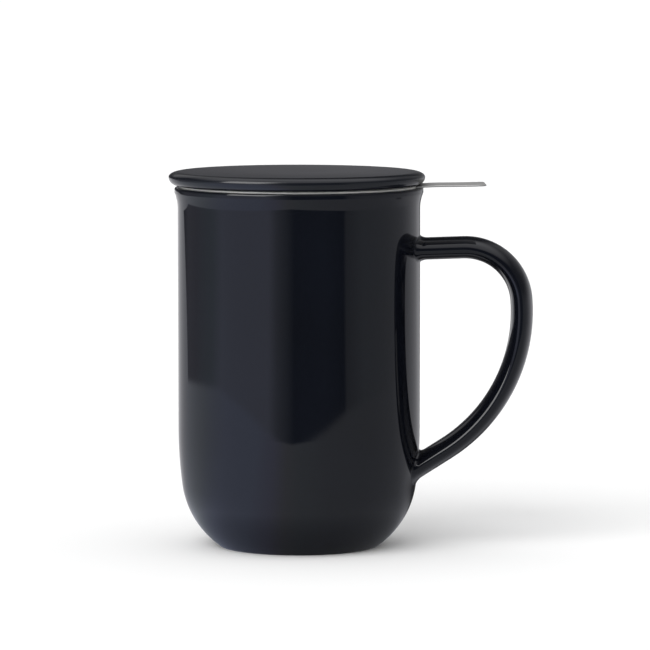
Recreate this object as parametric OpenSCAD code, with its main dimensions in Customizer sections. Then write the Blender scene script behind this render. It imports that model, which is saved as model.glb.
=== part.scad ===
// Tea mug with a loose lid and a lift-out infuser basket.
// Millimetres. The origin is the centre of the foot, +Z is up and the handle points along +X.

/* [Mug] */
// Outside diameter of the straight wall
body_d = 83; // [78:0.5:90]
// Height of the lip above the table
mug_h = 123.4; // [115:0.2:135]
// Thickness of the porcelain wall
wall = 3.4; // [2.8:0.1:4]
// Thickness of the porcelain floor above the recess under the foot
floor_t = 3.6; // [3:0.1:5]
// Diameter of the ring that the mug stands on
foot_d = 54.6; // [48:0.2:58]
// Width of that ring
foot_w = 3; // [2:0.1:4]
// Height of the recess inside the ring
foot_recess = 1.4; // [0.8:0.1:2]
// Radius of the lower curve, next to the foot
base_r = 30.5; // [28:0.5:33]
// Radius of the slight curve above it
belly_r = 150; // [120:5:200]
// Angle through which that slight curve turns
belly_turn = 7.5; // [5:0.5:9]

/* [Lip] */
// How far the lip flares outside the wall
flare = 1.1; // [0.6:0.1:1.8]
// Height of the flared zone, below the round top of the lip
flare_h = 5.8; // [5:0.1:9]
// Height of the round top of the lip
lip_round_h = 1.5; // [0.8:0.1:1.8]
// Width of the rounding on the outside of the lip
lip_round_out = 1.2; // [0.8:0.1:1.6]
// Width of the rounding on the inside of the lip
lip_round_in = 1.5; // [1:0.1:1.8]

/* [Handle] */
// Thickness of the handle, seen from the side
handle_t = 7.55; // [6.5:0.05:9]
// Width of the handle, seen from the front
handle_w = 20; // [15:0.5:22]
// Depth of the upper bar's centre line below the lip, at the wall
bar_drop = 20.4; // [18:0.2:26]
// Length of the straight upper bar, from the wall to the bend
bar_l = 15; // [12:0.5:18]
// Rise of the upper bar
bar_tilt = 2.2; // [0:0.2:4]
// Radius of the upper bend, at the centre line
bend_r = 19.1; // [16:0.1:22]
// Angle of the upper bend
bend_turn = 87.5; // [80:0.5:90]
// Radius of the long back curve, at the centre line
back_r = 56; // [50:0.5:60]
// Angle of the long back curve
back_turn = 62; // [58:1:68]
// How much the handle's ends widen on each side, where they join the wall
root_flare = 1.8; // [0.8:0.1:2.4]
// Length over which they widen
root_flare_l = 3; // [2:0.2:4]

/* [Infuser] */
// Thickness of the steel sheet of the collar
sheet = 0.55; // [0.4:0.05:0.8]
// Thickness of the perforated sheet
mesh_t = 0.4; // [0.3:0.05:0.6]
// Gap between the infuser's neck and the mouth of the mug
neck_gap = 2; // [1.5:0.1:2.4]
// How far the flange reaches over the mouth of the mug, onto the lip
flange_reach = 2.8; // [2.4:0.1:3.2]
// Height of the plain neck under the flange
neck_h = 13; // [11:0.5:18]
// Overlap of the perforated wall and the neck, at their seam
neck_lap = 3; // [2:0.5:4]
// Depth of the basket under the flange
basket_depth = 92; // [80:1:93]
// Height of the upstand round the basket's floor
floor_upstand = 5; // [3:0.5:8]
// Bend radius between the basket's floor and its upstand
tray_bend = 2; // [1:0.1:2.8]
// Length of the lifting tab beyond the flange
tab_l = 23; // [16:0.5:26]
// Width of the lifting tab
tab_w = 18; // [15:0.2:28]
// Corner radius of the lifting tab's end
tab_corner = 2; // [1:0.5:6]
// Radius of the inside corners where the lifting tab leaves the flange
tab_root = 3; // [1:0.5:5]
// How far the loose infuser lies turned from the handle, in degrees
infuser_turn = 5.7; // [-15:0.1:15]

/* [Perforation] */
// Diameter of each hole in the basket
hole_d = 2.4; // [1.6:0.1:4]
// Spacing of the holes along a row and between rows
hole_pitch = 9; // [7.5:0.1:12]
// Plain margin at the edges of the perforated sheets
hole_margin = 4; // [3:0.5:8]

/* [Lid] */
// Largest diameter of the lid
lid_d = 87.8; // [86:0.2:94]
// Height of the lid above the flange
lid_h = 5.1; // [4.6:0.1:7]
// Height of the widest line above the flange
lid_edge_h = 2.9; // [2.4:0.1:3.1]
// Play between the flange and the lid that lies on it
lid_gap = 0.1; // [0.05:0.05:0.3]
// Width of the rounding above the widest line
lid_round_top = 3.9; // [2.5:0.1:5]
// Width of the rounding below the widest line
lid_round_under = 3.1; // [2.4:0.1:3.4]
// Depth of the locating skirt inside the infuser's neck
skirt_h = 6; // [4:0.5:8]
// Thickness of the locating skirt
skirt_t = 2.8; // [2.2:0.1:3.5]
// Gap between the skirt and the neck
skirt_gap = 1.2; // [1:0.1:2]
// Thickness of the lid over its recess
lid_t = 3.4; // [2.8:0.1:4]
// Bevel at the foot of the skirt
skirt_bevel = 1; // [0.4:0.1:1.5]
// Rounding inside the recess under the lid
recess_round = 1.5; // [0.5:0.1:3]
// How far off centre the loose lid lies, towards -X
lid_shift = 0.7; // [0:0.1:0.7]

/* [Hidden] */
$fn = 96;

navy = "#191c28";
navy_satin = "#23262f";
steel = "#b9bab8";

// Mug: the lower curve starts at the foot, and the slight curve runs from it into the straight wall.
body_r = body_d / 2;
foot_r = foot_d / 2;
base_x = body_r - belly_r + (belly_r - base_r) * cos(belly_turn);
base_z = sqrt(pow(base_r, 2) - pow(foot_r - base_x, 2));
belly_z = base_z + (belly_r - base_r) * sin(belly_turn);
base_c = [base_x, base_z];
belly_c = [body_r - belly_r, belly_z];
foot_turn = asin(base_z / base_r);
floor_z = foot_recess + floor_t;
inner_floor_turn = asin((base_z - floor_z) / (base_r - wall));
mouth_r = body_r - wall;
lip_r = body_r + flare;
lip_side_z = mug_h - lip_round_h;
flare_z = lip_side_z - flare_h;
flare_r = (pow(flare_h, 2) + pow(flare, 2)) / (2 * flare);
flare_turn = asin(flare_h / flare_r);

// Handle: a straight bar, the upper bend, the long back curve and a straight tail into the wall.
root_inset = 2 * root_flare;
bar_end = [body_r + bar_l, mug_h - bar_drop];
bend_c = bar_end + bend_r * heading(bar_tilt - 90);
back_tilt = bar_tilt - bend_turn;
back_start = bend_c + bend_r * heading(back_tilt + 90);
back_c = back_start + back_r * heading(back_tilt - 90);
tail_tilt = back_tilt - back_turn;
tail_start = back_c + back_r * heading(tail_tilt + 90);
tail_run = (tail_start[0] - base_x - base_r) / -cos(tail_tilt);
tail_flare_l = min(root_flare_l, tail_run / 2);

// Infuser: it hangs from its flange, which lies on the lip.
flange_z = mug_h + sheet;
flange_r = mouth_r + flange_reach;
neck_r = mouth_r - neck_gap;
mesh_r = neck_r - sheet;
neck_bottom = mug_h - neck_h;
mesh_top = neck_bottom + neck_lap;
basket_bottom = mug_h - basket_depth;
tray_r = mesh_r - mesh_t;
tray_top = basket_bottom + floor_upstand;
holes_z0 = tray_top + hole_margin;
holes_z1 = neck_bottom - hole_margin;
hole_rows = floor((holes_z1 - holes_z0) / hole_pitch) + 1;
holes_round = floor(2 * PI * mesh_r / hole_pitch);
tray_rings = floor((tray_r - tray_bend - hole_margin) / hole_pitch);

// Lid: it lies on the flange, a little off centre.
lid_r = lid_d / 2;
lid_top_z = flange_z + lid_h;
lid_edge_z = flange_z + lid_edge_h;
lid_seat_z = flange_z + lid_gap;
skirt_r = mesh_r - skirt_gap;
lid_recess_r = skirt_r - skirt_t;
lid_recess_z = lid_top_z - lid_t;

// Direction at an angle, as a vector of length 1.
function heading(a) = [cos(a), sin(a)];

// Points along an oval arc about the centre c, from the angle a0 to the angle a1.
function oval_arc(c, rx, rz, a0, a1, n = 8) =
    [for (i = [0:n]) let (a = a0 + (a1 - a0) * i / n) c + [rx * cos(a), rz * sin(a)]];

// Points along a round arc, one for each 4 degrees or so.
function round_arc(c, r, a0, a1) = oval_arc(c, r, r, a0, a1, ceil(abs(a1 - a0) / 4));

// Outside of the mug, from the foot up to the widest line of the lip.
function mug_outside() = concat(
    round_arc(base_c, base_r, -foot_turn, -belly_turn),
    round_arc(belly_c, belly_r, -belly_turn, 0),
    round_arc([body_r + flare_r, flare_z], flare_r, 180, 180 - flare_turn));

// Inside of the mug, from the lip down to the edge of its flat floor.
function mug_inside() = concat(
    round_arc(belly_c, belly_r - wall, 0, -belly_turn),
    round_arc(base_c, base_r - wall, -belly_turn, -inner_floor_turn));

// The mug's outer form, filled, to which the handle's ends are fitted.
module mug_form() {
    rotate_extrude()
        polygon(concat([[0, mug_h], [0, 0]], mug_outside(), [[lip_r, mug_h]]));
}

// Slip-cast porcelain body.
module mug_body() {
    lip_out = oval_arc([lip_r - lip_round_out, lip_side_z], lip_round_out, lip_round_h, 0, 90);
    lip_in = oval_arc([mouth_r + lip_round_in, lip_side_z], lip_round_in, lip_round_h, 90, 180);
    under = [
        [0, floor_z],
        [0, foot_recess],
        [foot_r - foot_w - foot_recess, foot_recess],
        [foot_r - foot_w, 0]];
    color(navy)
        rotate_extrude()
            polygon(concat(mug_outside(), lip_out, lip_in, mug_inside(), under));
}

// Centre line of the handle, from inside the wall round to inside the wall again.
// Each entry holds a point, a heading and how much the section widens there on each side.
function handle_line() = concat(
    [for (s = [-root_inset, 0, 0.25, 0.5, 0.75, 1])
        let (out = s < 0 ? s : s * root_flare_l)
        [bar_end - (bar_l - out) * heading(bar_tilt), bar_tilt, root_flare * flare_at(s)]],
    [[bar_end, bar_tilt, 0]],
    [for (i = [1:12]) let (a = bar_tilt - bend_turn * i / 12)
        [bend_c + bend_r * heading(a + 90), a, 0]],
    [for (i = [1:12]) let (a = back_tilt - back_turn * i / 12)
        [back_c + back_r * heading(a + 90), a, 0]],
    [for (s = [1, 0.75, 0.5, 0.25, 0, -2 * root_inset])
        let (out = s < 0 ? s : s * tail_flare_l)
        [tail_start + (tail_run - out) * heading(tail_tilt), tail_tilt, root_flare * flare_at(s)]]);

// Share of the widening at a share s of the widened length, counted from the wall.
function flare_at(s) = pow(1 - max(0, s), 2);

// Oval ring of points round the handle at one entry of its centre line.
function handle_ring(entry) =
    let (half_t = handle_t / 2 + entry[2],
         half_w = handle_w / 2 + entry[2],
         side = heading(entry[1] + 90),
         n = 24)
    [for (i = [0:n - 1])
        let (out = half_t * cos(i * 360 / n))
        [entry[0][0] + out * side[0], -half_w * sin(i * 360 / n), entry[0][1] + out * side[1]]];

// Porcelain handle, stuck to the body before glazing.
module mug_handle() {
    rings = [for (entry = handle_line()) handle_ring(entry)];
    n = len(rings[0]);
    last = len(rings) - 1;
    color(navy) difference() {
        polyhedron(
            points = [for (ring = rings, p = ring) p],
            faces = concat(
                [[for (i = [0:n - 1]) n - 1 - i]],
                [for (r = [0:last - 1], i = [0:n - 1])
                    let (j = (i + 1) % n) [r * n + i, r * n + j, r * n + n + j, r * n + n + i]],
                [[for (i = [0:n - 1]) last * n + i]]));
        mug_form();
    }
}

// Flat outline of the lifting tab, with round corners at its end and where it leaves the flange.
module tab_outline() {
    tab_end = flange_r + tab_l;
    root_y = tab_w / 2 + tab_root;
    root_c = [sqrt(pow(flange_r + tab_root, 2) - pow(root_y, 2)), root_y];
    on_flange = root_c * flange_r / (flange_r + tab_root);
    translate([mesh_r, -tab_w / 2]) square([tab_end - tab_corner - mesh_r, tab_w]);
    translate([mesh_r, tab_corner - tab_w / 2]) square([tab_end - mesh_r, tab_w - 2 * tab_corner]);
    for (far_side = [0, 1]) mirror([0, far_side]) {
        translate([tab_end - tab_corner, tab_w / 2 - tab_corner]) circle(r = tab_corner);
        difference() {
            polygon([[on_flange[0], 0], on_flange, root_c, [root_c[0], 0]]);
            translate(root_c) circle(r = tab_root);
        }
    }
}

// Pressed steel collar: the flange, its lifting tab and the plain neck.
module infuser_collar() {
    color(steel) rotate([0, 0, infuser_turn]) {
        translate([0, 0, mug_h]) linear_extrude(sheet) difference() {
            union() {
                circle(r = flange_r);
                tab_outline();
            }
            circle(r = mesh_r);
        }
        translate([0, 0, neck_bottom]) difference() {
            cylinder(r = neck_r, h = neck_h);
            translate([0, 0, -1]) cylinder(r = mesh_r, h = neck_h + 2);
        }
    }
}

// Rolled perforated wall, lapped inside the neck.
module infuser_wall() {
    color(steel) rotate([0, 0, infuser_turn]) difference() {
        translate([0, 0, basket_bottom]) cylinder(r = mesh_r, h = mesh_top - basket_bottom);
        translate([0, 0, basket_bottom - 1])
            cylinder(r = tray_r, h = mesh_top - basket_bottom + 2);
        for (row = [0:hole_rows - 1], i = [0:holes_round - 1])
            rotate([0, 0, (i + (row % 2) / 2) * 360 / holes_round])
                translate([tray_r - 1, 0, holes_z0 + row * hole_pitch])
                    rotate([0, 90, 0]) cylinder(d = hole_d, h = mesh_t + 2, $fn = 24);
    }
}

// Pressed perforated floor, an upturned tray inside the wall.
module infuser_floor() {
    bend_c = [tray_r - tray_bend, basket_bottom + tray_bend];
    color(steel) rotate([0, 0, infuser_turn]) {
        translate([0, 0, basket_bottom]) linear_extrude(mesh_t) difference() {
            circle(r = tray_r - tray_bend);
            circle(d = hole_d);
            for (ring = [1:tray_rings], i = [0:6 * ring - 1])
                rotate(i * 60 / ring) translate([ring * hole_pitch, 0]) circle(d = hole_d);
        }
        rotate_extrude() polygon(concat(
            round_arc(bend_c, tray_bend, -90, 0),
            [[tray_r, tray_top], [tray_r - mesh_t, tray_top]],
            round_arc(bend_c, tray_bend - mesh_t, 0, -90)));
    }
}

// Porcelain lid: a flat round cap with a locating skirt under it.
module lid() {
    above = oval_arc([lid_r - lid_round_top, lid_edge_z], lid_round_top, lid_h - lid_edge_h, 90, 0);
    below = oval_arc([lid_r - lid_round_under, lid_edge_z], lid_round_under, lid_edge_h - lid_gap, 0, -90);
    skirt_z = flange_z - skirt_h;
    recess_c = [lid_recess_r - recess_round, lid_recess_z - recess_round];
    color(navy_satin) translate([-lid_shift, 0, 0])
        rotate_extrude() polygon(concat(
            [[0, lid_top_z]], above, below,
            [[skirt_r, lid_seat_z], [skirt_r, skirt_z + skirt_bevel],
             [skirt_r - skirt_bevel, skirt_z], [lid_recess_r, skirt_z]],
            round_arc(recess_c, recess_round, 0, 90),
            [[0, lid_recess_z]]));
}

mug_body();
mug_handle();
infuser_collar();
infuser_wall();
infuser_floor();
lid();
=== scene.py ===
"""A lidded tea mug with a lift-out infuser: the looks of every piece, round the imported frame.

The mug's sizes are in millimetres, and MM turns them into Blender's metres. The studio's sizes
are in metres. Angles are in degrees.
"""

import math

import bmesh
import bpy
from mathutils import Matrix, Vector
from mathutils.bvhtree import BVHTree


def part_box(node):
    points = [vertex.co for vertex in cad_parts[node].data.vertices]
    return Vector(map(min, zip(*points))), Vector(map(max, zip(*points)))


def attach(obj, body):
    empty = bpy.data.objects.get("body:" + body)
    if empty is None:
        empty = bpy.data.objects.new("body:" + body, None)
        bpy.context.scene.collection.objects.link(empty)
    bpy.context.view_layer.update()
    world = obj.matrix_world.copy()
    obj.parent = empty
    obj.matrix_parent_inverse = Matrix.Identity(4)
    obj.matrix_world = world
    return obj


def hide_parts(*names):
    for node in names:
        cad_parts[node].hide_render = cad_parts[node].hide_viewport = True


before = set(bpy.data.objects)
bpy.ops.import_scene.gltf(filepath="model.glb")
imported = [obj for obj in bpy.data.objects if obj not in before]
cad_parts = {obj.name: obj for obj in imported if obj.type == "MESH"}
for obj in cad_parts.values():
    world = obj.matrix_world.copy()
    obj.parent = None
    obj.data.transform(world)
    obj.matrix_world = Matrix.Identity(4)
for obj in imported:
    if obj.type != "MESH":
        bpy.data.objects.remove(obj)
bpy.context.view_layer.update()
scene = bpy.context.scene
MM = 0.001


# ---- Mug body -------------------------------------------------------------------------------
# The cup is slip-cast porcelain, stained dark through and dipped in a navy glaze. Its wall is
# straight, the lip flares and is rounded, and two arcs bring the wall in to a foot ring. The
# ring's underside is wiped bare before firing, so that it can't stick to the kiln shelf.

flare = 1.1
flare_h = 5.65
lip_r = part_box("mug_body")[1].x / MM
lip_top_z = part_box("mug_body")[1].z / MM
lip_side_h = 0.9
lip_ease_r = 1.0
lip_round_out = 0.75
lip_round_in = 1.5
body_r = lip_r - flare
wall = 3.4
foot_r = 27.3
foot_w = 3.0
recess_h = 1.4
floor_z = 5.0
base_r = 30.5
belly_r = 150.0
belly_turn = 7.5

mouth_r = body_r - wall
lip_side_z = lip_top_z - lip_round_out - lip_side_h
flare_z = lip_side_z - flare_h
flare_r = (flare_h ** 2 + flare ** 2) / (2 * flare) - lip_ease_r
flare_turn = math.degrees(math.asin(flare_h / (flare_r + lip_ease_r)))
base_x = body_r - belly_r + (belly_r - base_r) * math.cos(math.radians(belly_turn))
base_z = math.sqrt(base_r ** 2 - (foot_r - base_x) ** 2)
belly_z = base_z + (belly_r - base_r) * math.sin(math.radians(belly_turn))
foot_turn = math.degrees(math.asin(base_z / base_r))
inner_turn = math.degrees(math.asin((base_z - floor_z) / (base_r - wall)))

# Points closer together than this count as one
weld = 0.002


def arc(centre, radius, start, end, steps=12):
    """Points along an arc, between two angles in degrees. An oval has a pair of radii."""
    across, up = radius if isinstance(radius, tuple) else (radius, radius)
    angles = [math.radians(start + (end - start) * i / steps) for i in range(steps + 1)]
    return [(centre[0] + across * math.cos(a), centre[1] + up * math.sin(a)) for a in angles]


def turned(profile, steps=256):
    """A profile of (radius, height) points, turned about the Z axis as on a potter's wheel."""
    bm = bmesh.new()
    points = [bm.verts.new((r * MM, 0, z * MM)) for r, z in profile]
    lines = [bm.edges.new(pair) for pair in zip(points, points[1:])]
    bmesh.ops.spin(bm, geom=points + lines, axis=(0, 0, 1), cent=(0, 0, 0),
                   angle=math.tau, steps=steps, use_merge=True)
    bmesh.ops.remove_doubles(bm, verts=bm.verts, dist=weld * MM)
    bmesh.ops.recalc_face_normals(bm, faces=bm.faces)
    return bm


def finish_piece(name, bm, materials, body, node, crease=32):
    """Makes the piece an object that is smooth up to the crease angle, and hands it to the frame."""
    mesh = bpy.data.meshes.new(name)
    bm.to_mesh(mesh)
    bm.free()
    mesh.shade_smooth()
    mesh.set_sharp_from_angle(angle=math.radians(crease))
    for material in materials:
        mesh.materials.append(material)
    piece = bpy.data.objects.new(name, mesh)
    scene.collection.objects.link(piece)
    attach(piece, body)
    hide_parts(node)


def linear(hex_colour):
    """An sRGB hex colour as linear red, green, blue and alpha."""
    parts = [int(hex_colour[i:i + 2], 16) / 255 for i in (1, 3, 5)]
    return [c / 12.92 if c <= 0.04045 else ((c + 0.055) / 1.055) ** 2.4 for c in parts] + [1.0]


def add(tree, kind, sockets=None, **settings):
    """Adds a shader node, sets it up, and gives its sockets their values or links."""
    node = tree.nodes.new("ShaderNode" + kind)
    for name, value in settings.items():
        setattr(node, name, value)
    for socket, value in (sockets or {}).items():
        if isinstance(value, bpy.types.NodeSocket):
            tree.links.new(value, node.inputs[socket])
        else:
            node.inputs[socket].default_value = value
    return node


def new_material(name):
    """An empty material: itself, its node tree, and where on the piece a point lies."""
    material = bpy.data.materials.new(name)
    material.use_nodes = True
    tree = material.node_tree
    tree.nodes.clear()
    return material, tree, add(tree, "TexCoord").outputs["Object"]


# The sockets of a Mix node that mixes colours
SHARE, FIRST, SECOND, MIXED = 0, 6, 7, 2

# Glossy glaze is a skin of fired glass, so it mirrors the room at a few percent of its light.
# Its colour pools a little unevenly, and the cast wall under it is never quite true.
glaze_deep = "#08090d"
glaze_thin = "#0b0d14"
pooling_mm = 30
waviness_mm = 22
waviness_depth_mm = 0.02
peel_mm = 1.8
peel_depth_mm = 0.0006

glossy_glaze, tree, here = new_material("glossy_navy_glaze")
pooling = add(tree, "TexNoise", {"Vector": here, "Scale": 1 / (pooling_mm * MM), "Detail": 3.0})
glaze_colour = add(tree, "Mix", {SHARE: pooling.outputs["Fac"], FIRST: linear(glaze_deep),
                                 SECOND: linear(glaze_thin)}, data_type="RGBA")
waviness = add(tree, "TexNoise", {"Vector": here, "Scale": 1 / (waviness_mm * MM), "Detail": 0.0})
peel = add(tree, "TexNoise", {"Vector": here, "Scale": 1 / (peel_mm * MM), "Detail": 1.0})
wavy = add(tree, "Bump", {"Height": waviness.outputs["Fac"], "Distance": waviness_depth_mm * MM})
peeled = add(tree, "Bump", {"Height": peel.outputs["Fac"], "Distance": peel_depth_mm * MM,
                            "Normal": wavy.outputs["Normal"]})
shader = add(tree, "BsdfPrincipled", {"Base Color": glaze_colour.outputs[MIXED], "Roughness": 0.04,
                                      "IOR": 1.5, "Normal": peeled.outputs["Normal"]})
add(tree, "OutputMaterial", {"Surface": shader.outputs["BSDF"]})

# Bare stained porcelain is fired but unglazed: dull, a little lighter, and finely gritty.
bisque_dark = "#23252b"
bisque_light = "#35373d"
bisque_grit_mm = 0.5
bisque_grit_depth_mm = 0.02

bare_porcelain, tree, here = new_material("bare_stained_porcelain")
grit = add(tree, "TexNoise", {"Vector": here, "Scale": 1 / (bisque_grit_mm * MM), "Detail": 4.0})
bisque_colour = add(tree, "Mix", {SHARE: grit.outputs["Fac"], FIRST: linear(bisque_dark),
                                  SECOND: linear(bisque_light)}, data_type="RGBA")
gritty = add(tree, "Bump", {"Height": grit.outputs["Fac"], "Distance": bisque_grit_depth_mm * MM})
shader = add(tree, "BsdfPrincipled", {"Base Color": bisque_colour.outputs[MIXED], "Roughness": 0.8,
                                      "IOR": 1.5, "Normal": gritty.outputs["Normal"]})
add(tree, "OutputMaterial", {"Surface": shader.outputs["BSDF"]})

ring_in_r = foot_r - foot_w
cup_profile = [
    (0, recess_h),
    (ring_in_r - recess_h, recess_h),
    (ring_in_r, 0),
    (foot_r, 0),
    *arc((base_x, base_z), base_r, -foot_turn, -belly_turn, 24),
    *arc((body_r - belly_r, belly_z), belly_r, -belly_turn, 0, 8),
    *arc((body_r + flare_r, flare_z), flare_r, 180, 180 - flare_turn, 10),
    *arc((lip_r - lip_ease_r, lip_side_z), lip_ease_r, -flare_turn, 0, 4)[1:],
    *arc((lip_r - lip_round_out, lip_top_z - lip_round_out), lip_round_out, 0, 90, 8),
    *arc((mouth_r + lip_round_in, lip_top_z - lip_round_in), lip_round_in, 90, 180, 8),
    *arc((body_r - belly_r, belly_z), belly_r - wall, 0, -belly_turn, 8),
    *arc((base_x, base_z), base_r - wall, -belly_turn, -inner_turn, 20),
    (0, floor_z),
]
cup = turned(cup_profile)


def wipe_bare(piece, height):
    """Gives the piece's flat ring at a height its second material, as the glaze is wiped off it."""
    for face in piece.faces:
        if all(abs(vert.co.z - height * MM) < weld * MM for vert in face.verts):
            face.material_index = 1


wipe_bare(cup, 0)
cup_surface = BVHTree.FromBMesh(cup)
finish_piece("mug_cup", cup, [glossy_glaze, bare_porcelain], "mug", "mug_body")


# ---- Mug handle -----------------------------------------------------------------------------
# A pulled strap of the same clay, oval in section. It is stuck to the cup with slip before
# glazing, and a small fillet is smoothed round both of its ends, where it meets the wall.

handle_t = 7.55
handle_w = 20.0
bar_drop = 20.4
bar_l = 15.0
bar_tilt = 2.2
bend_r = 19.1
bend_turn = 87.5
back_r = 56.0
back_turn = 62
fillet_out = 1.2
fillet_along = 2.6
end_inset = 0.4


def heading(angle):
    """A direction in the handle's plane, at an angle in degrees above +X."""
    return Vector((math.cos(math.radians(angle)), 0, math.sin(math.radians(angle))))


def only(kind, made):
    """The verts, the edges or the faces among what an operator has made."""
    return [item for item in made if isinstance(item, kind)]


back_tilt = bar_tilt - bend_turn
tail_tilt = back_tilt - back_turn
bar_end = Vector((body_r + bar_l, 0, lip_top_z - bar_drop))
bend_centre = bar_end - bend_r * heading(bar_tilt + 90)
back_centre = bend_centre + (bend_r - back_r) * heading(back_tilt + 90)

strap = bmesh.new()
section = bmesh.ops.create_circle(strap, radius=handle_t / 2 * MM, segments=48)["verts"]
bmesh.ops.scale(strap, verts=section, vec=(1, handle_w / handle_t, 1))
bmesh.ops.rotate(strap, verts=section, matrix=Matrix.Rotation(math.radians(-90 - bar_tilt), 3, "Y"))
bmesh.ops.translate(strap, verts=section, vec=bar_end * MM)
section_edges = strap.edges[:]


def join_to_wall(edges, direction):
    """Widens the strap's open end in a round fillet on to the cup's wall, and sets it into the wall."""
    ends = [vert.co for edge in edges for vert in edge.verts]
    middle = sum(ends, Vector()) / len(ends)
    fillet = [(fillet_along * (1 - math.cos(math.radians(turn))),
               fillet_out * (1 - math.sin(math.radians(turn)))) for turn in range(90, -1, -15)]
    half_t, half_w = handle_t / 2, handle_w / 2
    for clear, out in [*fillet, (-end_inset, fillet_out)]:
        thicker = (handle_t / 2 + out) / half_t
        wider = (handle_w / 2 + out) / half_w
        half_t, half_w = handle_t / 2 + out, handle_w / 2 + out
        made = bmesh.ops.extrude_edge_only(strap, edges=edges)["geom"]
        edges = only(bmesh.types.BMEdge, made)
        for vert in only(bmesh.types.BMVert, made):
            offset = vert.co - middle
            offset -= direction * offset.dot(direction)
            start = middle + Vector((offset.x * thicker, offset.y * wider, offset.z * thicker))
            vert.co = cup_surface.ray_cast(start, direction)[0] - direction * clear * MM


bend = bmesh.ops.spin(strap, geom=section + section_edges, cent=bend_centre * MM, axis=(0, 1, 0),
                      angle=math.radians(bend_turn), steps=24)["geom_last"]
back = bmesh.ops.spin(strap, geom=bend, cent=back_centre * MM, axis=(0, 1, 0),
                      angle=math.radians(back_turn), steps=32)["geom_last"]
join_to_wall(only(bmesh.types.BMEdge, back), heading(tail_tilt))
join_to_wall(section_edges, -heading(bar_tilt))
bmesh.ops.holes_fill(strap, edges=strap.edges)
bmesh.ops.recalc_face_normals(strap, faces=strap.faces)
finish_piece("mug_strap_handle", strap, [glossy_glaze], "mug", "mug_handle", crease=50)


# ---- Infuser collar -------------------------------------------------------------------------
# The flange, its lifting tab and the neck are pressed from one stainless sheet, so the neck
# leaves the flange in a small bend, and the tab leaves it between two round inside corners.
# The infuser is loose, and lies turned a little. Its tab has been bent up slightly by use.

sheet = 0.55
flange_reach = 2.8
neck_gap = 2.0
neck_bend_r = 1.0
neck_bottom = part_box("infuser_collar")[0].z / MM
tab_l = 23.0
tab_w = 18.0
tab_corner = 2.0
tab_root = 3.0
tab_kick = 0.36
tab_kick_share = 0.35
tab_rise = 0.26
tab_slices = 12
sheet_edge_r = 0.25
sheet_edge_turn = 60
rim_margin = 0.1
infuser_turn = 5.7

flange_r = mouth_r + flange_reach
neck_r = mouth_r - neck_gap

# Tumbled stainless steel is satin: a soft grey mirror with a fine grain and faint cloudiness.
steel_pale = "#e7e6e2"
steel_deep = "#d5d4d0"
steel_grain_mm = 0.35
steel_grain_depth_mm = 0.004
steel_cloud_mm = 9

satin_steel, tree, here = new_material("tumbled_stainless_steel")
cloud = add(tree, "TexNoise", {"Vector": here, "Scale": 1 / (steel_cloud_mm * MM), "Detail": 3.0})
grain = add(tree, "TexNoise", {"Vector": here, "Scale": 1 / (steel_grain_mm * MM), "Detail": 2.0})
steel_colour = add(tree, "Mix", {SHARE: cloud.outputs["Fac"], FIRST: linear(steel_deep),
                                 SECOND: linear(steel_pale)}, data_type="RGBA")
satin = add(tree, "MapRange", {"Value": cloud.outputs["Fac"], "To Min": 0.44, "To Max": 0.54})
grained = add(tree, "Bump", {"Height": grain.outputs["Fac"], "Distance": steel_grain_depth_mm * MM})
shader = add(tree, "BsdfPrincipled", {"Base Color": steel_colour.outputs[MIXED], "Metallic": 1.0,
                                      "Roughness": satin.outputs["Result"],
                                      "Normal": grained.outputs["Normal"]})
add(tree, "OutputMaterial", {"Surface": shader.outputs["BSDF"]})

# The flange's cut edge is left rough as the shear tore it, so it scatters light almost evenly. Its
# near-white, partly matt steel is also a painted highlight: it stands in for the bright line that the
# edge mirrors. The tab's edges are dressed smooth for the fingers.
cut_pale_highlight = "#ebebe8"
shear_grain_mm = 0.12
shear_depth_mm = 0.01

cut_steel_highlight, tree, here = new_material("sheared_steel_edge_painted_highlight")
shear = add(tree, "TexNoise", {"Vector": here, "Scale": 1 / (shear_grain_mm * MM), "Detail": 2.0})
torn = add(tree, "Bump", {"Height": shear.outputs["Fac"], "Distance": shear_depth_mm * MM})
shader = add(tree, "BsdfPrincipled", {"Base Color": linear(cut_pale_highlight), "Metallic": 0.25,
                                      "Roughness": 0.6, "Normal": torn.outputs["Normal"]})
add(tree, "OutputMaterial", {"Surface": shader.outputs["BSDF"]})

tab_end = flange_r + tab_l
root_y = tab_w / 2 + tab_root
root_x = math.sqrt((flange_r + tab_root) ** 2 - root_y ** 2)
root_angle = math.degrees(math.atan2(root_y, root_x))
half_outline = [
    (tab_end, 0),
    *arc((tab_end - tab_corner, tab_w / 2 - tab_corner), tab_corner, 0, 90, 6),
    *arc((root_x, root_y), tab_root, 270, 180 + root_angle, 8),
    *arc((0, 0), flange_r, root_angle, 180, 96)[1:],
]
collar = bmesh.new()
rim = [collar.verts.new((x * MM, y * MM, lip_top_z * MM)) for x, y in half_outline]
rim_edges = [collar.edges.new(pair) for pair in zip(rim, rim[1:])]
bmesh.ops.mirror(collar, geom=rim + rim_edges, axis="Y", merge_dist=weld * MM)
neck_ring = bmesh.ops.create_circle(collar, radius=(neck_r + neck_bend_r) * MM, segments=192,
                                    matrix=Matrix.Translation((0, 0, lip_top_z * MM)))["verts"]
neck_edges = [edge for edge in collar.edges if edge.verts[0] in neck_ring]
bmesh.ops.triangle_fill(collar, edges=collar.edges, use_beauty=True, use_dissolve=False,
                        normal=(0, 0, 1))
for count in range(1, tab_slices):
    slice_x = flange_r + tab_l * count / tab_slices
    bmesh.ops.bisect_plane(collar, geom=collar.verts[:] + collar.edges[:] + collar.faces[:],
                           plane_co=(slice_x * MM, 0, 0), plane_no=(1, 0, 0))
for vert in collar.verts:
    share = max(0, (vert.co.x / MM - flange_r) / tab_l)
    kick = 1 - (1 - min(1, share / tab_kick_share)) ** 2
    vert.co.z += (tab_kick * kick + tab_rise * share ** 3) * MM


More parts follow.
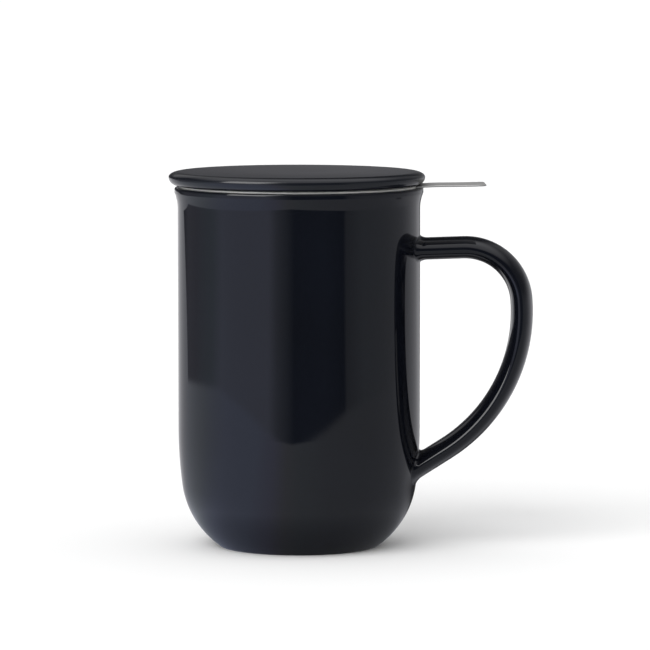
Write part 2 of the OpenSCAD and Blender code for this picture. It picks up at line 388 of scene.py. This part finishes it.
def draw_out(bm, edges, radius, height):
    """Draws a sheet's open round edge on to another radius and height, as a press does."""
    made = bmesh.ops.extrude_edge_only(bm, edges=edges)["geom"]
    for vert in only(bmesh.types.BMVert, made):
        vert.co = (vert.co.xy.normalized() * radius * MM).to_3d() + Vector((0, 0, height * MM))
    return only(bmesh.types.BMEdge, made)


def thicken(bm, thickness, inside_z):
    """Gives a sheet its thickness, towards the axis's point at the given height."""
    bmesh.ops.recalc_face_normals(bm, faces=bm.faces)
    inside = Vector((0, 0, inside_z * MM))
    outward = sum(face.normal.dot(face.calc_center_median() - inside) * face.calc_area()
                  for face in bm.faces)
    if outward < 0:
        bmesh.ops.reverse_faces(bm, faces=bm.faces)
    bmesh.ops.solidify(bm, geom=bm.faces, thickness=thickness * MM)


neck_bend_c = (neck_r + neck_bend_r, lip_top_z - neck_bend_r)
for radius, height in arc(neck_bend_c, neck_bend_r, 90, 180, 6)[1:]:
    neck_edges = draw_out(collar, neck_edges, radius, height)
draw_out(collar, neck_edges, neck_r, neck_bottom)
thicken(collar, sheet, lip_top_z + tab_l)


def round_edges(bm, radius, segments):
    """Rounds a sheet's cut edges, and returns the faces of the rounding."""
    edges = [edge for edge in bm.edges if edge.calc_face_angle(0) > math.radians(sheet_edge_turn)]
    return bmesh.ops.bevel(bm, geom=edges, offset=radius * MM, affect="EDGES", segments=segments,
                           profile=0.5, material=-1)["faces"]


# The flange's cut edge takes the pale edge steel, with its painted highlight.
for face in round_edges(collar, sheet_edge_r, 3):
    if max(vert.co.xy.length for vert in face.verts) < (flange_r + rim_margin) * MM:
        face.material_index = 1
turned_as_it_lies = Matrix.Rotation(math.radians(infuser_turn), 3, "Z")
bmesh.ops.rotate(collar, verts=collar.verts, matrix=turned_as_it_lies)
finish_piece("infuser_pressed_collar", collar, [satin_steel, cut_steel_highlight], "infuser",
             "infuser_collar")


# ---- Infuser wall ---------------------------------------------------------------------------
# The wall is thin perforated stainless, rolled into a tube and closed by a lapped strip with no
# holes, opposite the tab. It is pushed up inside the neck, and welded there.

gauge = 0.4
seam_play = 0.02
basket_r = neck_r - sheet - seam_play
wall_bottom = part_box("infuser_wall")[0].z / MM
wall_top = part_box("infuser_wall")[1].z / MM
wall_margin = 1.2
hole_pitch = 2.0
hole_r = 0.56
seam_w = 5.0
seam_strip_w = 6.0
strip_edge_r = 0.1
upstand_h = 5.0

# The corners of flat cells on a round tube meet within this distance
cell_weld = 0.05

# Perforated sheet is left as rolled and washed: a smoother, sharper mirror than the tumbled collar.
mesh_pale = "#c9c8c5"
mesh_deep = "#b4b3b0"
rolling_mm = 6

bright_steel, tree, here = new_material("rolled_perforated_stainless_steel")
rolling = add(tree, "TexNoise", {"Vector": here, "Scale": 1 / (rolling_mm * MM), "Detail": 4.0})
mesh_colour = add(tree, "Mix", {SHARE: rolling.outputs["Fac"], FIRST: linear(mesh_deep),
                                SECOND: linear(mesh_pale)}, data_type="RGBA")
rolled = add(tree, "MapRange", {"Value": rolling.outputs["Fac"], "To Min": 0.2, "To Max": 0.3})
shader = add(tree, "BsdfPrincipled", {"Base Color": mesh_colour.outputs[MIXED], "Metallic": 1.0,
                                      "Roughness": rolled.outputs["Result"]})
add(tree, "OutputMaterial", {"Surface": shader.outputs["BSDF"]})

holes_round = int((math.tau * basket_r - seam_w) / hole_pitch)
hole_step = (math.tau - seam_w / basket_r) / (holes_round + 0.5)
cell_r = basket_r * math.tan(hole_step / 2) * 2 / math.sqrt(3)
row_step = 1.5 * cell_r
first_row = wall_bottom + upstand_h + wall_margin + cell_r
row_count = int((neck_bottom - wall_margin - cell_r - first_row) / row_step) + 1
last_row = first_row + (row_count - 1) * row_step

# Each hole gets a six-sided cell. Rows of cells stand edge to edge round the tube.
basket = bmesh.new()
upright = Matrix.Rotation(math.radians(120), 4, Vector((1, 1, 1)))
place = Matrix.Translation((basket_r * MM, 0, first_row * MM))
bmesh.ops.create_circle(basket, cap_ends=True, radius=cell_r * MM, segments=6, matrix=place @ upright)
bmesh.ops.spin(basket, geom=basket.faces[:], cent=(0, 0, 0), axis=(0, 0, 1), use_duplicate=True,
               angle=hole_step * (holes_round - 1), steps=holes_round - 1)
row = basket.faces[:]
for index in range(1, row_count):
    made = bmesh.ops.duplicate(basket, geom=row)["geom"]
    row = only(bmesh.types.BMFace, made)
    shift = hole_step / 2 if index % 2 else -hole_step / 2
    bmesh.ops.rotate(basket, verts=only(bmesh.types.BMVert, made), matrix=Matrix.Rotation(shift, 3, "Z"))
    bmesh.ops.translate(basket, verts=only(bmesh.types.BMVert, made), vec=(0, 0, row_step * MM))
bmesh.ops.remove_doubles(basket, verts=basket.verts, dist=cell_weld * MM)
bmesh.ops.rotate(basket, verts=basket.verts,
                 matrix=Matrix.Rotation(-hole_step * (holes_round - 0.5) / 2, 3, "Z"))
cells = basket.faces[:]


def boundary(bm, low=-math.inf, high=math.inf):
    """The sheet's free edges that lie wholly between two heights."""
    return [edge for edge in bm.edges if edge.is_boundary
            and all(low * MM < vert.co.z < high * MM for vert in edge.verts)]


draw_out(basket, boundary(basket, low=last_row + 0.4 * cell_r), basket_r, wall_top)
draw_out(basket, boundary(basket, high=first_row - 0.4 * cell_r), basket_r, wall_bottom)
sides = [edge for edge in boundary(basket)
         if min(vert.co.z for vert in edge.verts) < (wall_top - weld) * MM
         and max(vert.co.z for vert in edge.verts) > (wall_bottom + weld) * MM]
for vert in only(bmesh.types.BMVert, bmesh.ops.extrude_edge_only(basket, edges=sides)["geom"]):
    vert.co.x = -basket_r * MM
    vert.co.y = 0
for vert in basket.verts:
    vert.co.xy = vert.co.xy.normalized() * basket_r * MM
bmesh.ops.remove_doubles(basket, verts=basket.verts, dist=weld * MM)


def punch(bm, cells, cell_r):
    """Opens a hole in each six-sided cell, and keeps the cell's margin as sheet."""
    bmesh.ops.inset_individual(bm, faces=cells, thickness=(cell_r * math.sqrt(3) / 2 - hole_r) * MM,
                               use_even_offset=True)
    bmesh.ops.delete(bm, geom=cells, context="FACES")


punch(basket, cells, cell_r)
thicken(basket, gauge - 2 * seam_play, (wall_bottom + wall_top) / 2)
bmesh.ops.rotate(basket, verts=basket.verts, matrix=turned_as_it_lies)
finish_piece("infuser_perforated_wall", basket, [bright_steel], "infuser", "infuser_wall")

strip_arc = seam_strip_w / basket_r
strip = bmesh.new()
bmesh.ops.create_grid(strip, x_segments=8, y_segments=1, size=0.5)
for vert in strip.verts:
    angle = math.pi + math.radians(infuser_turn) + vert.co.x * strip_arc
    height = (neck_bottom - wall_bottom - 2 * wall_margin) * vert.co.y + (neck_bottom + wall_bottom) / 2
    radius = (basket_r + gauge) * MM
    vert.co = (radius * math.cos(angle), radius * math.sin(angle), height * MM)
thicken(strip, gauge - seam_play, (neck_bottom + wall_bottom) / 2)
round_edges(strip, strip_edge_r, 2)
finish_piece("infuser_seam_strip", strip, [bright_steel], "infuser", "infuser_wall")


# ---- Infuser floor --------------------------------------------------------------------------
# A pressed tray of the same perforated sheet. Its rim turns up in a small bend, and is pushed
# into the foot of the wall and welded there.

tray_r = basket_r - gauge
tray_bend_r = 2.0
tray_margin = 1.5

flat_r = tray_r - tray_bend_r
cell_r = hole_pitch / math.sqrt(3)
row_step = 1.5 * cell_r
holes_out = int(flat_r / hole_pitch) + 1
tray = bmesh.new()
for line in range(-holes_out, holes_out + 1):
    for column in range(-holes_out, holes_out + 1):
        x = hole_pitch * (column + (line % 2) / 2)
        y = row_step * line
        if math.hypot(x, y) + cell_r < flat_r - tray_margin:
            bmesh.ops.create_circle(tray, cap_ends=True, radius=cell_r * MM, segments=6,
                                    matrix=Matrix.Translation((x * MM, y * MM, wall_bottom * MM)))
bmesh.ops.remove_doubles(tray, verts=tray.verts, dist=cell_weld * MM)
cells = tray.faces[:]
flat_ring = bmesh.ops.create_circle(tray, radius=flat_r * MM, segments=128,
                                    matrix=Matrix.Translation((0, 0, wall_bottom * MM)))["verts"]
tray_edges = [edge for edge in tray.edges if edge.verts[0] in flat_ring]
zigzag = [edge for edge in tray.edges if edge.is_boundary]
bmesh.ops.triangle_fill(tray, edges=zigzag + tray_edges, use_beauty=True, use_dissolve=False,
                        normal=(0, 0, 1))
for radius, height in arc((flat_r, wall_bottom + tray_bend_r), tray_bend_r, -90, 0, 6)[1:]:
    tray_edges = draw_out(tray, tray_edges, radius, height)
draw_out(tray, tray_edges, tray_r, wall_bottom + upstand_h)
punch(tray, cells, cell_r)
thicken(tray, gauge, wall_bottom + tray_r)
bmesh.ops.rotate(tray, verts=tray.verts, matrix=turned_as_it_lies)
finish_piece("infuser_perforated_floor", tray, [bright_steel], "infuser", "infuser_floor")


# ---- Lid ------------------------------------------------------------------------------------
# A flat cap of the same porcelain under a satin glaze. Its top rolls off towards its oval edge,
# a skirt keeps it on the infuser, and its seat is wiped bare for firing. It is loose, and lies a
# little off centre.

lid_low, lid_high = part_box("lid")
lid_r = (lid_high.x - lid_low.x) / 2 / MM
lid_centre_x = (lid_high.x + lid_low.x) / 2
lid_top_z = lid_high.z / MM
skirt_z = lid_low.z / MM
flange_z = lip_top_z + sheet
lid_play = 0.1
lid_edge_h = 2.9
lid_flat_r = 18.0
lid_roll_turn = 1.6
lid_round_top = 3.9
lid_round_under = 3.1
skirt_gap = 1.2
skirt_t = 2.8
skirt_bevel = 1.0
skirt_root_r = 0.6
recess_round = 1.5
lid_t = 3.4

seat_z = flange_z + lid_play
edge_z = flange_z + lid_edge_h
skirt_r = neck_r - sheet - skirt_gap
recess_r = skirt_r - skirt_t
recess_z = lid_top_z - lid_t
rolled_r = lid_r - lid_round_top
roll_r = (rolled_r - lid_flat_r) / math.sin(math.radians(lid_roll_turn))
rolled_z = lid_top_z - roll_r * (1 - math.cos(math.radians(lid_roll_turn)))

# Satin glaze has fine crystals in its skin, which spread each reflection into a soft glow.
satin_deep = "#0d0f15"
satin_light = "#121419"
crystal_mm = 0.4
crystal_depth_mm = 0.004

satin_glaze, tree, here = new_material("satin_navy_glaze")
pooling = add(tree, "TexNoise", {"Vector": here, "Scale": 1 / (pooling_mm * MM), "Detail": 3.0})
glaze_colour = add(tree, "Mix", {SHARE: pooling.outputs["Fac"], FIRST: linear(satin_deep),
                                 SECOND: linear(satin_light)}, data_type="RGBA")
crystals = add(tree, "TexNoise", {"Vector": here, "Scale": 1 / (crystal_mm * MM), "Detail": 2.0})
rough = add(tree, "MapRange", {"Value": pooling.outputs["Fac"], "To Min": 0.14, "To Max": 0.2})
crystalled = add(tree, "Bump", {"Height": crystals.outputs["Fac"], "Distance": crystal_depth_mm * MM})
shader = add(tree, "BsdfPrincipled", {"Base Color": glaze_colour.outputs[MIXED], "IOR": 1.5,
                                      "Roughness": rough.outputs["Result"],
                                      "Normal": crystalled.outputs["Normal"]})
add(tree, "OutputMaterial", {"Surface": shader.outputs["BSDF"]})

recess_c = (recess_r - recess_round, recess_z - recess_round)
lid_profile = [
    (0, lid_top_z),
    *arc((lid_flat_r, lid_top_z - roll_r), roll_r, 90, 90 - lid_roll_turn, 8),
    *arc((rolled_r, edge_z), (lid_round_top, rolled_z - edge_z), 86, 0, 12),
    *arc((lid_r - lid_round_under, edge_z), (lid_round_under, edge_z - seat_z), 0, -90, 10),
    *arc((skirt_r + skirt_root_r, seat_z - skirt_root_r), skirt_root_r, 90, 180, 4),
    (skirt_r, skirt_z + skirt_bevel),
    (skirt_r - skirt_bevel, skirt_z),
    (recess_r, skirt_z),
    *arc(recess_c, recess_round, 0, 90, 6),
    (0, recess_z),
]
cap = turned(lid_profile)
wipe_bare(cap, seat_z)
bmesh.ops.translate(cap, verts=cap.verts, vec=(lid_centre_x, 0, 0))
finish_piece("flat_porcelain_lid", cap, [satin_glaze, bare_porcelain], "lid", "lid")


# ---- Studio ---------------------------------------------------------------------------------
# A white paper floor, a pale room and one wide soft lamp at the front left light the mug. What
# its glaze mirrors is a set of its own: the tabletop, the dim room beyond it, and a softbox.

floor_r = 12.0
paper_white = "#f4f4f4"
lamp_azimuth = -33
lamp_height = 30
lamp_spread = 60
lamp_strength = 2.2
room_strength = 0.9
camera_turn = 4.5


def for_gloss_only(stand):
    """Shows a stand-in of the studio to mirror-like rays, and hides it from all others."""
    stand.visible_camera = False
    stand.visible_diffuse = False
    stand.visible_transmission = False
    stand.visible_shadow = False


def stage_mesh(name, bm, material):
    """Makes a mesh one of the studio's objects, which aren't part of the mug."""
    mesh = bpy.data.meshes.new(name)
    bm.to_mesh(mesh)
    bm.free()
    mesh.materials.append(material)
    stand = bpy.data.objects.new(name, mesh)
    scene.collection.objects.link(stand)
    return stand


# Uncoated backdrop paper is matt: it scatters light evenly, and takes soft shadows.
paper, tree, here = new_material("white_backdrop_paper")
shader = add(tree, "BsdfPrincipled", {"Base Color": linear(paper_white), "Roughness": 0.9, "IOR": 1.3})
add(tree, "OutputMaterial", {"Surface": shader.outputs["BSDF"]})

ground = bmesh.new()
bmesh.ops.create_circle(ground, radius=floor_r, segments=96, cap_ends=True)
bmesh.ops.recalc_face_normals(ground, faces=ground.faces)
floor = stage_mesh("studio_floor", ground, paper)
floor.visible_glossy = False

lamp = bpy.data.lights.new("wide_soft_lamp", "SUN")
lamp.energy = lamp_strength
lamp.angle = math.radians(lamp_spread)
lamp_object = bpy.data.objects.new("wide_soft_lamp", lamp)
lamp_object.rotation_euler = (math.radians(90 - lamp_height), 0, math.radians(lamp_azimuth + camera_turn))
lamp_object.visible_glossy = False
scene.collection.objects.link(lamp_object)

room = bpy.data.worlds.new("pale_room")
room.use_nodes = True
room.node_tree.nodes["Background"].inputs["Color"].default_value = (1, 1, 1, 1)
room.node_tree.nodes["Background"].inputs["Strength"].default_value = room_strength
scene.world = room
room.cycles_visibility.glossy = False

# Only the glaze and the steel see this set, a half-dome over the mug. It holds the light of the
# tabletop out to its edge, of the room beyond, dim with height, and of the white ceiling. Each
# direction is in degrees round from the camera, and a minus sign is to the camera's left.
set_r = 2.5
tabletop = [
    (-180, "#404044"), (-174, "#88888c"), (-169, "#f6f6f8"), (-158, "#dcdce0"), (-136, "#c4c5cc"),
    (-126, "#c2c6d0"), (-100, "#cbd2de"), (-70, "#d1daf9"), (-38, "#d1dbfb"), (-22, "#c8c9e6"),
    (-10, "#bababe"), (0, "#aeb3b6"), (24, "#a4a6a9"), (96, "#9c9ea4"), (135, "#b0b0b5"),
    (158, "#c4c4c8"), (168, "#5c5c60"), (180, "#404044"),
]
beyond = [
    (-180, "#828286"), (-172, "#606064"), (-140, "#404044"), (-128, "#74747c"), (-112, "#84848e"),
    (-88, "#a3aeb9"), (-76, "#c4cae1"), (-28, "#c7cbe1"), (-20, "#9a9da8"), (-12, "#787c82"),
    (-4, "#33393e"), (24, "#414853"), (42, "#2d343a"), (45, "#7c7e80"), (62, "#969a9e"),
    (115, "#9b9ca2"), (135, "#b2b3b8"), (160, "#c0c1c5"), (172, "#828286"), (180, "#828286"),
]
table_edge = [
    (-180, 2.4), (-150, 2.4), (-128, 0.56), (-80, 0.54), (-48, 0.46), (-23, 0.38), (-6, 0.33),
    (24, 0.4), (43, 0.455), (130, 0.6), (150, 2.4), (180, 2.4),
]
edge_blur = 0.04
# The sizes and depth of the tabletop's painted shade round the foot and to the back right.
shade_in = 0.028
shade_out = 0.055
painted_foot_shade = 0.3
painted_cast_shade_c = (0.045, 0.11, 0)
painted_cast_shade_in = 0.03
painted_cast_shade_out = 0.09
painted_cast_shade = 0.1
dusk_low = 0.04
dusk_high = 0.6
dusk = 0.35
ceiling = "#f0f0f4"
ceiling_low = 1.4
ceiling_high = 2.3

set_light, tree, here = new_material("studio_set_light")
from_camera = add(tree, "Mapping", {"Vector": here, "Rotation": (0, 0, math.radians(90 - camera_turn))})
around = add(tree, "TexGradient", {"Vector": from_camera.outputs["Vector"]}, gradient_type="RADIAL")
edge_stops = [(turn, [distance / set_r] * 3 + [1.0]) for turn, distance in table_edge]
ramps = []
for stops in (tabletop, beyond, edge_stops):
    ramp = add(tree, "ValToRGB", {"Fac": around.outputs["Fac"]})
    while len(ramp.color_ramp.elements) < len(stops):
        ramp.color_ramp.elements.new(1.0)
    for element, (turn, colour) in zip(ramp.color_ramp.elements, stops):
        element.position = 0.5 + turn / 360
        element.color = linear(colour) if isinstance(colour, str) else colour
    ramps.append(ramp.outputs["Color"])
near_light, far_light, edge_share = ramps

# Painted shade: the tabletop is darkened round the mug's foot, and as a cast shade to its back right.
on_plan = add(tree, "Mapping", {"Vector": here, "Scale": (1, 1, 0)})
outwards = add(tree, "VectorMath", {0: on_plan.outputs["Vector"]}, operation="LENGTH")
under_foot = add(tree, "MapRange", {"Value": outwards.outputs["Value"], "From Min": shade_in,
                                    "From Max": shade_out, "To Min": painted_foot_shade})
from_shade = add(tree, "VectorMath", {0: on_plan.outputs["Vector"], 1: painted_cast_shade_c},
                 operation="DISTANCE")
in_shade = add(tree, "MapRange", {"Value": from_shade.outputs["Value"], "From Min": painted_cast_shade_in,
                                  "From Max": painted_cast_shade_out, "To Min": painted_cast_shade},
               interpolation_type="SMOOTHSTEP")
shaded = add(tree, "Math", {0: under_foot.outputs["Result"], 1: in_shade.outputs["Result"]},
             operation="MULTIPLY")
near_shaded = add(tree, "Mix", {SHARE: shaded.outputs["Value"], FIRST: (0, 0, 0, 1),
                                SECOND: near_light}, data_type="RGBA")

past_edge = add(tree, "Math", {0: edge_share, 1: -set_r, 2: outwards.outputs["Value"]},
                operation="MULTIPLY_ADD")
off_table = add(tree, "MapRange", {"Value": past_edge.outputs["Value"], "From Min": -edge_blur / 2,
                                   "From Max": edge_blur / 2}, interpolation_type="SMOOTHSTEP")
low_light = add(tree, "Mix", {SHARE: off_table.outputs["Result"], FIRST: near_shaded.outputs[MIXED],
                              SECOND: far_light}, data_type="RGBA")
above = add(tree, "SeparateXYZ", {"Vector": here})
dimming = add(tree, "MapRange", {"Value": above.outputs["Z"], "From Min": dusk_low,
                                 "From Max": dusk_high, "To Min": 1.0, "To Max": dusk})
wall_light = add(tree, "VectorMath", {0: low_light.outputs[MIXED], "Scale": dimming.outputs["Result"]},
                 operation="SCALE")
raised = add(tree, "MapRange", {"Value": above.outputs["Z"], "From Min": ceiling_low,
                                "From Max": ceiling_high}, interpolation_type="SMOOTHSTEP")
all_light = add(tree, "Mix", {SHARE: raised.outputs["Result"], FIRST: wall_light.outputs["Vector"],
                              SECOND: linear(ceiling)}, data_type="RGBA")
glow = add(tree, "Emission", {"Color": all_light.outputs[MIXED]})
add(tree, "OutputMaterial", {"Surface": glow.outputs["Emission"]})
set_light.cycles.emission_sampling = "NONE"

dome = bmesh.new()
bmesh.ops.create_uvsphere(dome, u_segments=96, v_segments=48, radius=set_r)
bmesh.ops.bisect_plane(dome, geom=dome.verts[:] + dome.edges[:] + dome.faces[:], clear_inner=True,
                       plane_co=(0, 0, -MM), plane_no=(0, 0, 1))
bmesh.ops.holes_fill(dome, edges=dome.edges)
for_gloss_only(stage_mesh("studio_set", dome, set_light))

softbox_azimuth = -50
softbox_height = 38
softbox_away = 1.4
softbox_w = 1.0
softbox_h = 1.3
softbox_strength = 4.5

# A softbox's white cloth glows evenly, lit from behind.
softbox_cloth, tree, here = new_material("softbox_cloth")
glow = add(tree, "Emission", {"Strength": softbox_strength})
add(tree, "OutputMaterial", {"Surface": glow.outputs["Emission"]})
front = bmesh.new()
bmesh.ops.create_grid(front, x_segments=1, y_segments=1, size=0.5)
bmesh.ops.scale(front, verts=front.verts, vec=(softbox_w, softbox_h, 1))
bmesh.ops.translate(front, verts=front.verts, vec=(0, 0, softbox_away))
bmesh.ops.rotate(front, verts=front.verts,
                 matrix=Matrix.Rotation(math.radians(90 - softbox_height), 3, "X"))
bmesh.ops.rotate(front, verts=front.verts,
                 matrix=Matrix.Rotation(math.radians(softbox_azimuth + camera_turn), 3, "Z"))
for_gloss_only(stage_mesh("studio_softbox", front, softbox_cloth))

scene.view_settings.view_transform = "Standard"

camera_place = (0.1269, -1.4987, 0.2154)
camera_down = 5.3
focal_length_mm = 243.7
sensor_mm = 36
sees_to = 50

camera_lens = bpy.data.cameras.new("camera")
camera_lens.lens = focal_length_mm
camera_lens.sensor_width = sensor_mm
camera_lens.clip_end = sees_to
camera = bpy.data.objects.new("camera", camera_lens)
camera.location = camera_place
camera.rotation_euler = (math.radians(90 - camera_down), 0, math.radians(camera_turn))
scene.collection.objects.link(camera)
scene.camera = camera
